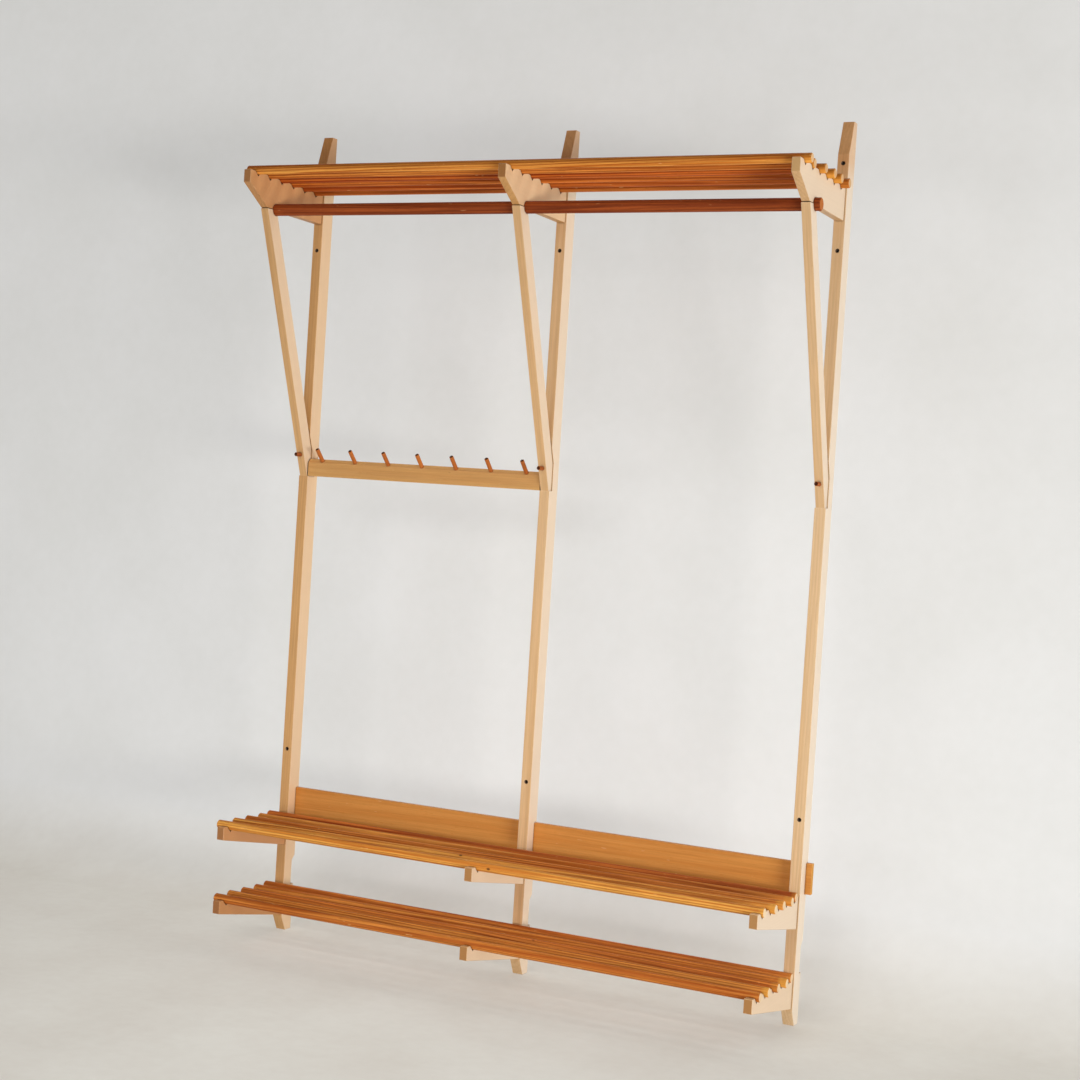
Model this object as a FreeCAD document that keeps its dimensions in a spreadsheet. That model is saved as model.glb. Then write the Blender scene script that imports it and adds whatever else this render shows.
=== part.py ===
import FreeCAD, Part
import math
import os
import re

import Sketcher

# Coat and shoe rack for a wall, in millimetres.
# X runs along the wall, the front faces -Y, the wall is at Y 0 and the floor at Z 0.
# The middle upright stands at X 0.

doc = FreeCAD.newDocument("coat_and_shoe_rack")
sheet = doc.addObject("Spreadsheet::Sheet", "sizes")

driving_sizes = {
    # frame
    "bayWidth": 674,
    "uprightHeight": 2000,
    "uprightWidth": 26,
    "uprightDepth": 44,
    "topSlope": 75,
    "topFlat": 20,
    "footSlope": 36,
    "footFlat": 25,
    "ease": 0.8,
    "fit": 0.2,
    # wall screw holes: two below the top, one above the floor
    "wallHoleTop": 95,
    "wallHoleMiddle": 286,
    "wallHoleLow": 461,
    "wallHole": 6,
    "wallHead": 10,
    # hat shelf, whose nose lies below the top of the uprights; it falls a little towards the wall
    "bracketThickness": 19,
    "hatDrop": 139.5,
    "hatLength": 314,
    "hatFall": 10.5,
    "hatRear": 4,
    "hatNose": 29.5,
    "hatFirst": 31,
    "hatLast": 33,
    "hatRods": 6,
    # clothes rail below the hat shelf, in the split between strut and bracket
    "railDrop": 78.5,
    "railSetback": 35,
    "railDiameter": 28,
    "railOverhang": 14,
    "splitGap": 2,
    # struts, whose feet lie below the rail
    "strutDrop": 632,
    "strutReach": 237,
    "strutThickness": 36,
    "strutWidth": 21,
    "housingDepth": 14,
    # rods and their notches
    "rodDiameter": 21,
    "rodOverhang": 11.5,
    "rodEase": 1.5,
    "hatNotch": 11.2,
    "shoeNotch": 14,
    # shoe shelves, which fall towards the wall too
    "upperTop": 298,
    "lowerTop": 120,
    "shoeLength": 267,
    "shoeFall": 5,
    "shoeOverhang": 10,
    "shoeNose": 31,
    "shoeRear": 79,
    "shoeFirst": 28,
    "shoeLast": 25,
    "shoeRods": 5,
    # peg rail and pegs
    "pegRailHeight": 43.5,
    "pegRailThickness": 30,
    "pegBevel": 9,
    "pegCount": 7,
    "pegInset": 39,
    "pegDiameter": 10,
    "pegReach": 40,
    "pegSeat": 20,
    "pegEase": 1,
    "strutPegRise": 52,
    "strutPegReach": 20,
    "strutPegSeat": 12,
    # back board and the empty notch below it
    "boardBottom": 292.5,
    "boardHeight": 69,
    "boardThickness": 13,
    "boardOverhang": 14,
    "hookBottom": 115,
    "hookHeight": 62,
    "hookDepth": 12,
    # dowels
    "dowelDiameter": 8,
    "dowelDepth": 25,
    "hatDowelFoot": 18,
    "hatDowelPitch": 34,
    "shoeDowelFoot": 22,
    "shoeDowelPitch": 26,
    "strutDowelDiameter": 6,
    "strutDowelDepth": 20,
    "strutDowelInset": 12,
    "pegDowelFoot": 12,
    "pegDowelPitch": 20,
    "pegDowelInset": 6,
    "pegDowelSeat": 12,
    # board screws
    "screwDiameter": 4,
    "screwLength": 30,
    "screwHead": 8,
    "screwFoot": 18,
    "screwPitch": 34,
}

# How far each rod was slid along before it was glued, from the front of its shelf to the wall.
rod_slides = {
    "hat": (3, -7, 2, 6, 6, 8),
    "upper": (-5.5, 1.5, 1.5, 2.5, -6.5),
    "lower": (-2.5, -1.5, 1.5, 2.5, -4.5),
}
for shelf, slides in rod_slides.items():
    for number, slide in enumerate(slides, start=1):
        driving_sizes["%sSlide%d" % (shelf, number)] = slide

for row, (alias, size) in enumerate(driving_sizes.items(), start=1):
    sheet.set("A%d" % row, alias)
    sheet.set("B%d" % row, str(size))
    sheet.setAlias("B%d" % row, alias)
doc.recompute()

# Lines that several pieces share, as formulas of the sizes.
FRONT = "-uprightDepth"
HOUSING = "-(uprightDepth - housingDepth)"
HAT_TOP = "(uprightHeight - hatDrop)"
RAIL_HEIGHT = "(%s - railDrop)" % HAT_TOP
RAIL_Y = "-(uprightDepth + strutReach - railSetback)"
STRUT_FOOT = "(%s - strutDrop)" % RAIL_HEIGHT
SPLIT_LOW = "(%s - splitGap / 2)" % RAIL_HEIGHT
SPLIT_HIGH = "(%s + splitGap / 2)" % RAIL_HEIGHT
HAT_FOOT = "(%s - hatRear)" % SPLIT_HIGH
LEAN = "(strutReach / strutDrop)"
STRUT_ACROSS = "(strutThickness * sqrt(1 + %s ^ 2))" % LEAN
STRUT_SHOULDER = "(%s + (%s - housingDepth) / %s)" % (STRUT_FOOT, STRUT_ACROSS, LEAN)
STRUT_DOWEL_DROP = "strutDowelDepth / sqrt(1 + %s ^ 2)" % LEAN
STRUT_DOWEL_Y = "-(uprightDepth + strutReach) + strutDowelInset + %s * %s" % (STRUT_DOWEL_DROP, LEAN)
STRUT_DOWEL_Z = "%s - %s" % (RAIL_HEIGHT, STRUT_DOWEL_DROP)
STRUT_PEG_Z = "(%s + strutPegRise)" % STRUT_FOOT
HAT_PITCH = "((hatLength - hatFirst - hatLast) / (hatRods - 1))"
SHOE_PITCH = "((shoeLength - shoeFirst - shoeLast) / (shoeRods - 1))"
SHELF_WIDTH = "(2 * bayWidth + bracketThickness)"
PEG_RAIL_LENGTH = "(bayWidth - uprightWidth)"
PEG_RAIL_TOP = "(%s + pegRailHeight)" % STRUT_FOOT
PEG_PITCH = "((%s - 2 * pegInset) / (pegCount - 1))" % PEG_RAIL_LENGTH
PEG_DOWEL_Y = HOUSING + " + pegDowelInset"
PEG_DOWEL_Z = ("%s + pegDowelFoot" % STRUT_FOOT, "%s + pegDowelFoot + pegDowelPitch" % STRUT_FOOT)
SCREW_Z = ("boardBottom + screwFoot", "boardBottom + screwFoot + screwPitch")
WALL_HOLE_Z = ("uprightHeight - wallHoleTop", "uprightHeight - wallHoleMiddle", "wallHoleLow")

# For each bracket: its lowest point at the upright, the first dowel above it and the step to the second.
BRACKET_DOWELS = {
    "hat": (HAT_FOOT, "hatDowelFoot", "hatDowelPitch"),
    "upper": ("upperTop - shoeRear", "shoeDowelFoot", "shoeDowelPitch"),
    "lower": ("lowerTop - shoeRear", "shoeDowelFoot", "shoeDowelPitch"),
}

# For each shelf: its nose's top, reach, fall, first notch behind the nose, step, notch depth and count.
SHELVES = {
    "hat": (HAT_TOP, "hatLength", "hatFall", "hatFirst", HAT_PITCH, "hatNotch", "hatRods"),
    "upper": ("upperTop", "shoeLength", "shoeFall", "shoeFirst", SHOE_PITCH, "shoeNotch", "shoeRods"),
    "lower": ("lowerTop", "shoeLength", "shoeFall", "shoeFirst", SHOE_PITCH, "shoeNotch", "shoeRods"),
}

SIDES = {"left": -1, "middle": 0, "right": 1}
SIDEWAYS = FreeCAD.Vector(1, 0, 0)
BACKWARDS = FreeCAD.Vector(0, 1, 0)
UP = FreeCAD.Vector(0, 0, 1)
SQUARE = 90
HALF_SQUARE = 45
# How far a cutting outline runs past the face that it cuts.
OVERCUT = "5"


def bound(formula):
    # Points every size name in the formula at its cell.
    def cell(word):
        name = word.group(0)
        return "sizes." + name if name in driving_sizes else name
    return re.sub(r"[A-Za-z]\w*", cell, formula)


def bind(thing, **formulas):
    # Binds properties to formulas; a double underscore stands for a dot.
    for name, formula in formulas.items():
        thing.setExpression(name.replace("__", "."), bound(formula))


def count_of(alias):
    return int(round(float(sheet.get(alias))))


def same(a, b):
    return abs(a - b) < 0.001


def new_body(name, x="0", y="0", z="0", tilt=0):
    # The tilt tips the body from straight up towards the front.
    body = doc.addObject("PartDesign::Body", name)
    body.Label = name
    body.Placement = FreeCAD.Placement(FreeCAD.Vector(), FreeCAD.Rotation(SIDEWAYS, tilt))
    bind(body, Placement__Base__x=x, Placement__Base__y=y, Placement__Base__z=z)
    return body


def origin_part(body, role):
    return [part for part in body.Origin.OriginFeatures if part.Role == role][0]


def new_sketch(body, name, plane="YZ_Plane", lift="0"):
    # The sketch lies on one of the body's own planes, lifted along that plane's normal.
    sketch = body.newObject("Sketcher::SketchObject", name)
    sketch.AttachmentSupport = [(origin_part(body, plane), "")]
    sketch.MapMode = "FlatFace"
    sketch.Visibility = False
    bind(sketch, AttachmentOffset__Base__z=lift)
    return sketch


def pin_point(sketch, geometry, point, across, up):
    for kind, formula in (("DistanceX", across), ("DistanceY", up)):
        index = sketch.addConstraint(Sketcher.Constraint(kind, -1, 1, geometry, point, 1.0))
        sketch.setExpression("Constraints[%d]" % index, bound(formula))


def draw_outline(sketch, corners):
    # A closed outline whose every corner is pinned to its two formulas.
    count = len(corners)
    first = sketch.GeometryCount
    turn = 2 * math.pi / count
    spots = [FreeCAD.Vector(math.cos(turn * i), math.sin(turn * i), 0) for i in range(count)]
    for i in range(count):
        sketch.addGeometry(Part.LineSegment(spots[i], spots[(i + 1) % count]))
    for i in range(count):
        sketch.addConstraint(Sketcher.Constraint("Coincident", first + i, 2, first + (i + 1) % count, 1))
    for i, (across, up) in enumerate(corners):
        pin_point(sketch, first + i, 1, across, up)


def draw_circle(sketch, across, up, diameter):
    geometry = sketch.addGeometry(Part.Circle(FreeCAD.Vector(0, 0, 0), UP, 1.0))
    pin_point(sketch, geometry, 3, across, up)
    index = sketch.addConstraint(Sketcher.Constraint("Diameter", geometry, 2.0))
    sketch.setExpression("Constraints[%d]" % index, bound(diameter))


def pad(body, sketch, length, both_ways=True):
    feature = body.newObject("PartDesign::Pad", sketch.Name + "_pad")
    feature.Profile = sketch
    if both_ways:
        feature.SideType = "Symmetric"
    bind(feature, Length=length)
    doc.recompute()


def cut(body, sketch, depth=None, reverse=False):
    # A pocket: right through both ways, or to a depth on one side of the sketch.
    feature = body.newObject("PartDesign::Pocket", sketch.Name + "_cut")
    feature.Profile = sketch
    before = body.Shape.Volume
    if depth is None:
        feature.SideType = "Symmetric"
        feature.Type = "ThroughAll"
    else:
        feature.Reversed = reverse
        bind(feature, Length=depth)
    doc.recompute()
    if feature.Shape.Volume > before - 1:
        raise RuntimeError("%s takes nothing away" % feature.Name)
    return feature


def repeat(body, feature, axis, step, count):
    pattern = body.newObject("PartDesign::LinearPattern", feature.Name + "_row")
    pattern.Originals = [feature]
    pattern.Direction = (origin_part(body, axis), [""])
    bind(pattern, Length="%s * (%s - 1)" % (step, count), Occurrences=count)
    body.Tip = pattern
    doc.recompute()


def drill_countersunk(body, name, spots, lift, diameter, head, reverse=False):
    # Screw holes right through along Y, with a square countersink on the sketch's side.
    sketch = new_sketch(body, name, "XZ_Plane", lift)
    for across, up in spots:
        draw_circle(sketch, across, up, diameter)
    doc.recompute()
    hole = body.newObject("PartDesign::Hole", name + "_drilled")
    hole.Profile = sketch
    hole.DepthType = "ThroughAll"
    hole.Threaded = False
    hole.Reversed = reverse
    hole.HoleCutType = "Countersink"
    hole.HoleCutCustomValues = True
    hole.HoleCutCountersinkAngle = SQUARE
    bind(hole, Diameter=diameter, HoleCutDiameter=head)
    doc.recompute()


def bore_slanted(body, name, x, y, z, angle, diameter, depth):
    # A round blind bore from a place; the angle tips its axis from straight up towards the front.
    tool = body.newObject("PartDesign::SubtractiveCylinder", name)
    tool.Placement = FreeCAD.Placement(FreeCAD.Vector(), FreeCAD.Rotation(SIDEWAYS, HALF_SQUARE))
    bind(tool, Placement__Base__x=x, Placement__Base__y=y, Placement__Base__z=z)
    bind(tool, Placement__Rotation__Angle=angle, Radius=diameter + " / 2 + fit", Height=depth)
    doc.recompute()
    return tool


def ease_edges(body, wanted, size):
    # Chamfers the edges whose end points satisfy the test.
    base = body.Tip
    box = base.Shape.BoundBox
    names = []
    for number, edge in enumerate(base.Shape.Edges, start=1):
        if wanted([vertex.Point for vertex in edge.Vertexes], box):
            names.append("Edge%d" % number)
    if not names:
        raise RuntimeError("no edge to ease on %s" % body.Name)
    feature = body.newObject("PartDesign::Chamfer", body.Name + "_eased")
    feature.Base = (base, names)
    bind(feature, Size=size)
    doc.recompute()


def in_wall(points, axis, level):
    return all(same(getattr(point, axis), level) for point in points)


def on_end(points, box):
    return in_wall(points, "x", box.XMax) or in_wall(points, "x", box.XMin)


def on_plate(points, box):
    # Any edge of a plate's outline, along it or across it.
    return all(same(abs(point.x), box.XMax) for point in points)


def on_bracket(points, box):
    # The end against the upright and a level foot stay sharp.
    sharp = in_wall(points, "y", box.YMax) or in_wall(points, "z", box.ZMin)
    return on_plate(points, box) and not sharp


def on_strut(points, box):
    return on_bracket(points, box) and not in_wall(points, "z", box.ZMax)


def on_long_edge(points, box):
    # Along X, at the bottom or the back.
    along = not same(points[0].x, points[-1].x)
    return along and (in_wall(points, "z", box.ZMin) or in_wall(points, "y", box.YMax))


def on_tip(points, box):
    return in_wall(points, "z", box.ZMax)


def make_upright(side):
    name = "upright_" + side
    body = new_body(name, x="bayWidth * %d" % SIDES[side])
    sketch = new_sketch(body, name + "_outline")
    draw_outline(sketch, [
        ("-footFlat", "0"),
        ("0", "0"),
        ("0", "uprightHeight"),
        ("-topFlat", "uprightHeight"),
        (FRONT, "uprightHeight - topSlope"),
        (FRONT, "footSlope"),
    ])
    pad(body, sketch, "uprightWidth")
    ease_edges(body, on_plate, "ease")

    # Board notch and empty notch in the back, strut housing in the front.
    sketch = new_sketch(body, name + "_notches")
    draw_outline(sketch, [
        ("-boardThickness", "boardBottom"),
        (OVERCUT, "boardBottom"),
        (OVERCUT, "boardBottom + boardHeight"),
        ("-boardThickness", "boardBottom + boardHeight"),
    ])
    draw_outline(sketch, [
        ("-hookDepth", "hookBottom"),
        (OVERCUT, "hookBottom"),
        (OVERCUT, "hookBottom + hookHeight + hookDepth + " + OVERCUT),
        ("-hookDepth", "hookBottom + hookHeight"),
    ])
    draw_outline(sketch, [
        (HOUSING, STRUT_FOOT),
        (HOUSING, STRUT_SHOULDER),
        ("%s - %s" % (FRONT, OVERCUT), "%s + (housingDepth + %s) / %s" % (STRUT_SHOULDER, OVERCUT, LEAN)),
        ("%s - %s" % (FRONT, OVERCUT), STRUT_FOOT),
    ])
    cut(body, sketch)
    drill_countersunk(body, name + "_wall_holes", [("0", height) for height in WALL_HOLE_Z],
                      "uprightDepth", "wallHole", "wallHead")

    # Dowel holes for the three brackets, then the hole for the strut's peg.
    for bracket in BRACKET_DOWELS:
        bore_bracket_dowels(body, name, bracket, reverse=False)
    sketch = new_sketch(body, name + "_peg_hole", "XZ_Plane", "uprightDepth")
    draw_circle(sketch, "0", STRUT_PEG_Z, "pegDiameter + 2 * fit")
    cut(body, sketch, "housingDepth + strutPegSeat")

    # Pilot holes for the board screws, from the back.
    sketch = new_sketch(body, name + "_pilots", "XZ_Plane")
    for height in SCREW_Z:
        draw_circle(sketch, "0", height, "screwDiameter + 2 * fit")
    cut(body, sketch, "screwLength", reverse=True)

    # The peg rail's dowels go into the facing sides of the left and middle uprights.
    facing = {"left": 1, "middle": -1}.get(side)
    if facing:
        bore_peg_rail_dowels(body, name, "uprightWidth / 2 * %d" % facing, "pegDowelSeat", facing < 0)
    return body


def bore_bracket_dowels(body, name, bracket, reverse):
    # Two dowel holes square to the upright's front, into the upright or, reversed, into the bracket.
    foot, first, pitch = BRACKET_DOWELS[bracket]
    sketch = new_sketch(body, "%s_%s_dowels" % (name, bracket), "XZ_Plane", "uprightDepth")
    for step in ("0", pitch):
        draw_circle(sketch, "0", "%s + %s + %s" % (foot, first, step), "dowelDiameter + 2 * fit")
    cut(body, sketch, "dowelDepth", reverse)


def bore_peg_rail_dowels(body, name, lift, depth, reverse):
    sketch = new_sketch(body, name + "_rail_dowels", "YZ_Plane", lift)
    for height in PEG_DOWEL_Z:
        draw_circle(sketch, PEG_DOWEL_Y, height, "dowelDiameter + 2 * fit")
    cut(body, sketch, depth, reverse)


def bore_strut_dowel(body, name, depth):
    bore_slanted(body, name + "_strut_dowel", "0", STRUT_DOWEL_Y, STRUT_DOWEL_Z, "atan(%s)" % LEAN,
                 "strutDowelDiameter", depth)


def cut_rail_hole(body, name):
    sketch = new_sketch(body, name + "_rail_hole")
    draw_circle(sketch, RAIL_Y, RAIL_HEIGHT, "railDiameter + 2 * fit")
    cut(body, sketch)


def notch_places(shelf):
    # The middle of each notch and the height of its bottom, from the front to the wall.
    top, reach, fall, first, pitch, depth, count = SHELVES[shelf]
    places = []
    for index in range(count_of(count)):
        back = "(%s + %s * %d)" % (first, pitch, index)
        places.append(("(%s - %s + %s)" % (FRONT, reach, back),
                       "(%s - %s * %s / %s - %s)" % (top, fall, back, reach, depth)))
    return places


def cut_notches(body, name, shelf):
    # A row of square V notches along the falling top edge.
    sketch = new_sketch(body, name + "_notches")
    rise = "(%s + %s)" % (SHELVES[shelf][5], OVERCUT)
    for middle, bottom in notch_places(shelf):
        draw_outline(sketch, [
            (middle, bottom),
            ("%s + %s" % (middle, rise), "%s + %s" % (bottom, rise)),
            ("%s - %s" % (middle, rise), "%s + %s" % (bottom, rise)),
        ])
    cut(body, sketch)


def make_bracket_plate(name, side, corners):
    body = new_body(name, x="bayWidth * %d" % SIDES[side])
    sketch = new_sketch(body, name + "_outline")
    draw_outline(sketch, corners)
    pad(body, sketch, "bracketThickness")
    ease_edges(body, on_bracket, "ease")
    return body


def make_hat_bracket(side):
    name = "hat_bracket_" + side
    nose = "-(uprightDepth + hatLength)"
    body = make_bracket_plate(name, side, [
        (FRONT, HAT_FOOT),
        (FRONT, HAT_TOP + " - hatFall"),
        (nose, HAT_TOP),
        (nose, HAT_TOP + " - hatNose"),
        ("-(uprightDepth + strutReach)", SPLIT_HIGH),
    ])
    cut_rail_hole(body, name)
    cut_notches(body, name, "hat")
    bore_bracket_dowels(body, name, "hat", reverse=True)
    bore_strut_dowel(body, name, "2 * strutDowelDepth")
    return body


def make_shoe_bracket(shelf, side):
    name = "%s_shoe_bracket_%s" % (shelf, side)
    top = shelf + "Top"
    nose = "-(uprightDepth + shoeLength)"
    body = make_bracket_plate(name, side, [
        (FRONT, top + " - shoeRear"),
        (FRONT, top + " - shoeFall"),
        (nose, top),
        (nose, top + " - shoeNose"),
    ])
    cut_notches(body, name, shelf)
    bore_bracket_dowels(body, name, shelf, reverse=True)
    return body


def make_strut(side):
    name = "strut_" + side
    body = new_body(name, x="bayWidth * %d" % SIDES[side])
    top_front = "%s - %s * (strutDrop - splitGap / 2)" % (FRONT, LEAN)
    sketch = new_sketch(body, name + "_outline")
    draw_outline(sketch, [
        (FRONT, STRUT_FOOT),
        (top_front, SPLIT_LOW),
        ("%s + %s" % (top_front, STRUT_ACROSS), SPLIT_LOW),
        (HOUSING, STRUT_SHOULDER),
        (HOUSING, STRUT_FOOT),
    ])
    pad(body, sketch, "strutWidth")
    ease_edges(body, on_strut, "ease")
    cut_rail_hole(body, name)
    sketch = new_sketch(body, name + "_peg_hole", "XZ_Plane")
    draw_circle(sketch, "0", STRUT_PEG_Z, "pegDiameter + 2 * fit")
    cut(body, sketch)
    bore_strut_dowel(body, name, "2 * strutDowelDepth")
    return body


def make_bar(name, diameter, overhang, x, y, z):
    # A round bar along X across all three brackets, with eased ends.
    body = new_body(name, x, y, z)
    sketch = new_sketch(body, name + "_section")
    draw_circle(sketch, "0", "0", diameter)
    pad(body, sketch, "%s + 2 * %s" % (SHELF_WIDTH, overhang))
    ease_edges(body, on_end, "rodEase")
    return body


def make_shelf_rods(shelf, label, overhang):
    # Each rod lies on both flanks of its notches.
    made = []
    for index, (middle, bottom) in enumerate(notch_places(shelf)):
        slide = "%sSlide%d" % (shelf, index % len(rod_slides[shelf]) + 1)
        height = "%s + (rodDiameter / 2 + fit) * sqrt(2)" % bottom
        made.append(make_bar("%s_%d" % (label, index + 1), "rodDiameter", overhang, slide, middle, height))
    return made


def peg_base():
    # Where a slanted peg's inner end sits, square below the middle of the rail's bevel.
    step = "(pegBevel / 2 + pegSeat / sqrt(2))"
    return ("%s + %s" % (FRONT, step), "%s - %s" % (PEG_RAIL_TOP, step))


def make_peg_rail():
    body = new_body("peg_rail", x="-bayWidth / 2")
    sketch = new_sketch(body, "peg_rail_section")
    back = FRONT + " + pegRailThickness"
    draw_outline(sketch, [
        (FRONT, STRUT_FOOT),
        (back, STRUT_FOOT),
        (back, PEG_RAIL_TOP),
        (FRONT + " + pegBevel", PEG_RAIL_TOP),
        (FRONT, PEG_RAIL_TOP + " - pegBevel"),
    ])
    pad(body, sketch, PEG_RAIL_LENGTH)
    ease_edges(body, on_long_edge, "ease")
    bore_peg_rail_dowels(body, "peg_rail_right", PEG_RAIL_LENGTH + " / 2", "dowelDepth", reverse=False)
    bore_peg_rail_dowels(body, "peg_rail_left", "-%s / 2" % PEG_RAIL_LENGTH, "dowelDepth", reverse=True)
    base_y, base_z = peg_base()
    tool = bore_slanted(body, "peg_hole", "pegInset - %s / 2" % PEG_RAIL_LENGTH, base_y, base_z,
                        str(HALF_SQUARE), "pegDiameter", "pegSeat + " + OVERCUT)
    repeat(body, tool, "X_Axis", PEG_PITCH, "pegCount")
    return body


def make_peg(name, x, y, z, tilt, length):
    # A round peg from its inner end at the given place.
    body = new_body(name, x, y, z, tilt)
    sketch = new_sketch(body, name + "_section", "XY_Plane")
    draw_circle(sketch, "0", "0", "pegDiameter")
    pad(body, sketch, length, both_ways=False)
    ease_edges(body, on_tip, "pegEase")
    return body


def make_pegs():
    made = []
    base_y, base_z = peg_base()
    for index in range(count_of("pegCount")):
        x = "-bayWidth + uprightWidth / 2 + pegInset + %s * %d" % (PEG_PITCH, index)
        made.append(make_peg("rail_peg_%d" % (index + 1), x, base_y, base_z, HALF_SQUARE,
                             "pegSeat + pegReach"))
    length = "housingDepth + strutPegSeat + %s * strutPegRise + strutPegReach" % LEAN
    for side, place in SIDES.items():
        made.append(make_peg("strut_peg_" + side, "bayWidth * %d" % place, HOUSING + " + strutPegSeat",
                             STRUT_PEG_Z, SQUARE, length))
    return made


def make_board():
    body = new_body("back_board")
    sketch = new_sketch(body, "back_board_section")
    draw_outline(sketch, [
        ("-boardThickness", "boardBottom"),
        ("0", "boardBottom"),
        ("0", "boardBottom + boardHeight"),
        ("-boardThickness", "boardBottom + boardHeight"),
    ])
    pad(body, sketch, "2 * bayWidth + uprightWidth + 2 * boardOverhang")
    ease_edges(body, on_long_edge, "ease")
    spots = [("bayWidth * %d" % place, height) for place in SIDES.values() for height in SCREW_Z]
    drill_countersunk(body, "back_board_screw_holes", spots, "0", "screwDiameter + 2 * fit",
                      "screwHead + 2 * fit", reverse=True)
    return body


def place_round(thing, x, y, z, axis, angle):
    # Puts a round primitive's base at a place and turns its axis from straight up.
    thing.Placement = FreeCAD.Placement(FreeCAD.Vector(), FreeCAD.Rotation(axis, HALF_SQUARE))
    bind(thing, Placement__Base__x=x, Placement__Base__y=y, Placement__Base__z=z)
    bind(thing, Placement__Rotation__Angle=angle)


def new_dowel(name, diameter, length, x, y, z, axis=SIDEWAYS, angle=str(SQUARE)):
    dowel = doc.addObject("Part::Cylinder", name)
    bind(dowel, Radius=diameter + " / 2", Height=length)
    place_round(dowel, x, y, z, axis, angle)
    return dowel


def group(name, members):
    compound = doc.addObject("Part::Compound", name)
    compound.Label = name
    compound.Links = members
    return compound


def make_bracket_dowels(bracket, label):
    members = []
    foot, first, pitch = BRACKET_DOWELS[bracket]
    for side, place in SIDES.items():
        for number, step in enumerate(("0", pitch), start=1):
            members.append(new_dowel("%s_%s_%d" % (label, side, number), "dowelDiameter", "2 * dowelDepth",
                                     "bayWidth * %d" % place, FRONT + " + dowelDepth",
                                     "%s + %s + %s" % (foot, first, step)))
    return group(label, members)


def make_strut_dowels():
    members = []
    for side, place in SIDES.items():
        members.append(new_dowel("strut_dowel_" + side, "strutDowelDiameter", "2 * strutDowelDepth",
                                 "bayWidth * %d" % place, STRUT_DOWEL_Y, STRUT_DOWEL_Z,
                                 angle="atan(%s)" % LEAN))
    return group("strut_dowels", members)


def make_peg_rail_dowels():
    members = []
    starts = {
        "left": "-bayWidth + uprightWidth / 2 - pegDowelSeat",
        "right": "-uprightWidth / 2 - dowelDepth",
    }
    for end, start in starts.items():
        for number, height in enumerate(PEG_DOWEL_Z, start=1):
            members.append(new_dowel("peg_rail_dowel_%s_%d" % (end, number), "dowelDiameter",
                                     "dowelDepth + pegDowelSeat", start, PEG_DOWEL_Y, height, BACKWARDS))
    return group("peg_rail_dowels", members)


def make_screws():
    members = []
    for side, place in SIDES.items():
        for number, height in enumerate(SCREW_Z, start=1):
            name = "board_screw_%s_%d" % (side, number)
            head = doc.addObject("Part::Cone", name + "_head")
            bind(head, Radius1="screwHead / 2", Radius2="screwDiameter / 2",
                 Height="(screwHead - screwDiameter) / 2")
            shank = doc.addObject("Part::Cylinder", name + "_shank")
            bind(shank, Radius="screwDiameter / 2", Height="screwLength")
            for piece in (head, shank):
                place_round(piece, "bayWidth * %d" % place, "0", height, SIDEWAYS, str(SQUARE))
            screw = doc.addObject("Part::Fuse", name)
            screw.Base = head
            screw.Tool = shank
            members.append(screw)
    return group("board_screws", members)


# Build every piece.
nodes = []
for side in SIDES:
    nodes.append(make_upright(side))
    nodes.append(make_hat_bracket(side))
    nodes.append(make_strut(side))
    nodes.append(make_shoe_bracket("upper", side))
    nodes.append(make_shoe_bracket("lower", side))
nodes += make_shelf_rods("hat", "hat_rod", "rodOverhang")
for shelf in ("upper", "lower"):
    nodes += make_shelf_rods(shelf, shelf + "_shoe_rod", "shoeOverhang")
nodes.append(make_bar("clothes_rail", "railDiameter", "railOverhang", "0", RAIL_Y, RAIL_HEIGHT))
nodes.append(make_peg_rail())
nodes += make_pegs()
nodes.append(make_board())
nodes.append(make_bracket_dowels("hat", "hat_bracket_dowels"))
nodes.append(make_bracket_dowels("upper", "upper_shoe_bracket_dowels"))
nodes.append(make_bracket_dowels("lower", "lower_shoe_bracket_dowels"))
nodes.append(make_strut_dowels())
nodes.append(make_peg_rail_dowels())
nodes.append(make_screws())
doc.recompute()

# Check every object, then write one file per piece.
for thing in doc.Objects:
    if "Invalid" in thing.State or "Error" in thing.State:
        raise RuntimeError("%s failed: %s" % (thing.Name, thing.State))
for node in nodes:
    if node.Shape.isNull() or not node.Shape.isValid():
        raise RuntimeError("%s has no sound shape" % node.Label)
os.makedirs("parts", exist_ok=True)
for node in nodes:
    node.Shape.exportStep(os.path.join("parts", node.Label + ".step"))
    print("%-28s %d solid(s) %12.1f mm3" % (node.Label, len(node.Shape.Solids), node.Shape.Volume))
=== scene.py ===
import math

import bpy
import numpy as np
from mathutils import Matrix, Vector


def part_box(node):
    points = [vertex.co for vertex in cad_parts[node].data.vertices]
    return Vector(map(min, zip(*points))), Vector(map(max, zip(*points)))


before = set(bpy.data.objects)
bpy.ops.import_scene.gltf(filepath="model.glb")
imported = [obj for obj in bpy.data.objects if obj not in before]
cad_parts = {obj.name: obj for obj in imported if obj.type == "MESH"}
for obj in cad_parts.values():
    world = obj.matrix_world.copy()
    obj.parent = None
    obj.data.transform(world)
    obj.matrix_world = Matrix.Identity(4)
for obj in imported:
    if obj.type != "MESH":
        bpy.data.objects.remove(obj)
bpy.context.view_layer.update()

scene = bpy.context.scene
scene.view_settings.view_transform = "Standard"
print("frame loaded:", len(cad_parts), "nodes")


def linear(hexTone):  # sRGB hex to the linear colour that shaders read
    srgb = np.array([int(hexTone[i:i + 2], 16) for i in (0, 2, 4)]) / 255
    flat = np.where(srgb <= 0.04045, srgb / 12.92, ((srgb + 0.055) / 1.055) ** 2.4)
    return (*flat.tolist(), 1.0)


def between(pair, tone):  # a tone between a pale and a deep board of the same wood
    pale, deep = np.array(linear(pair[0])), np.array(linear(pair[1]))
    return tuple((pale + (deep - pale) * tone).tolist())


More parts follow.
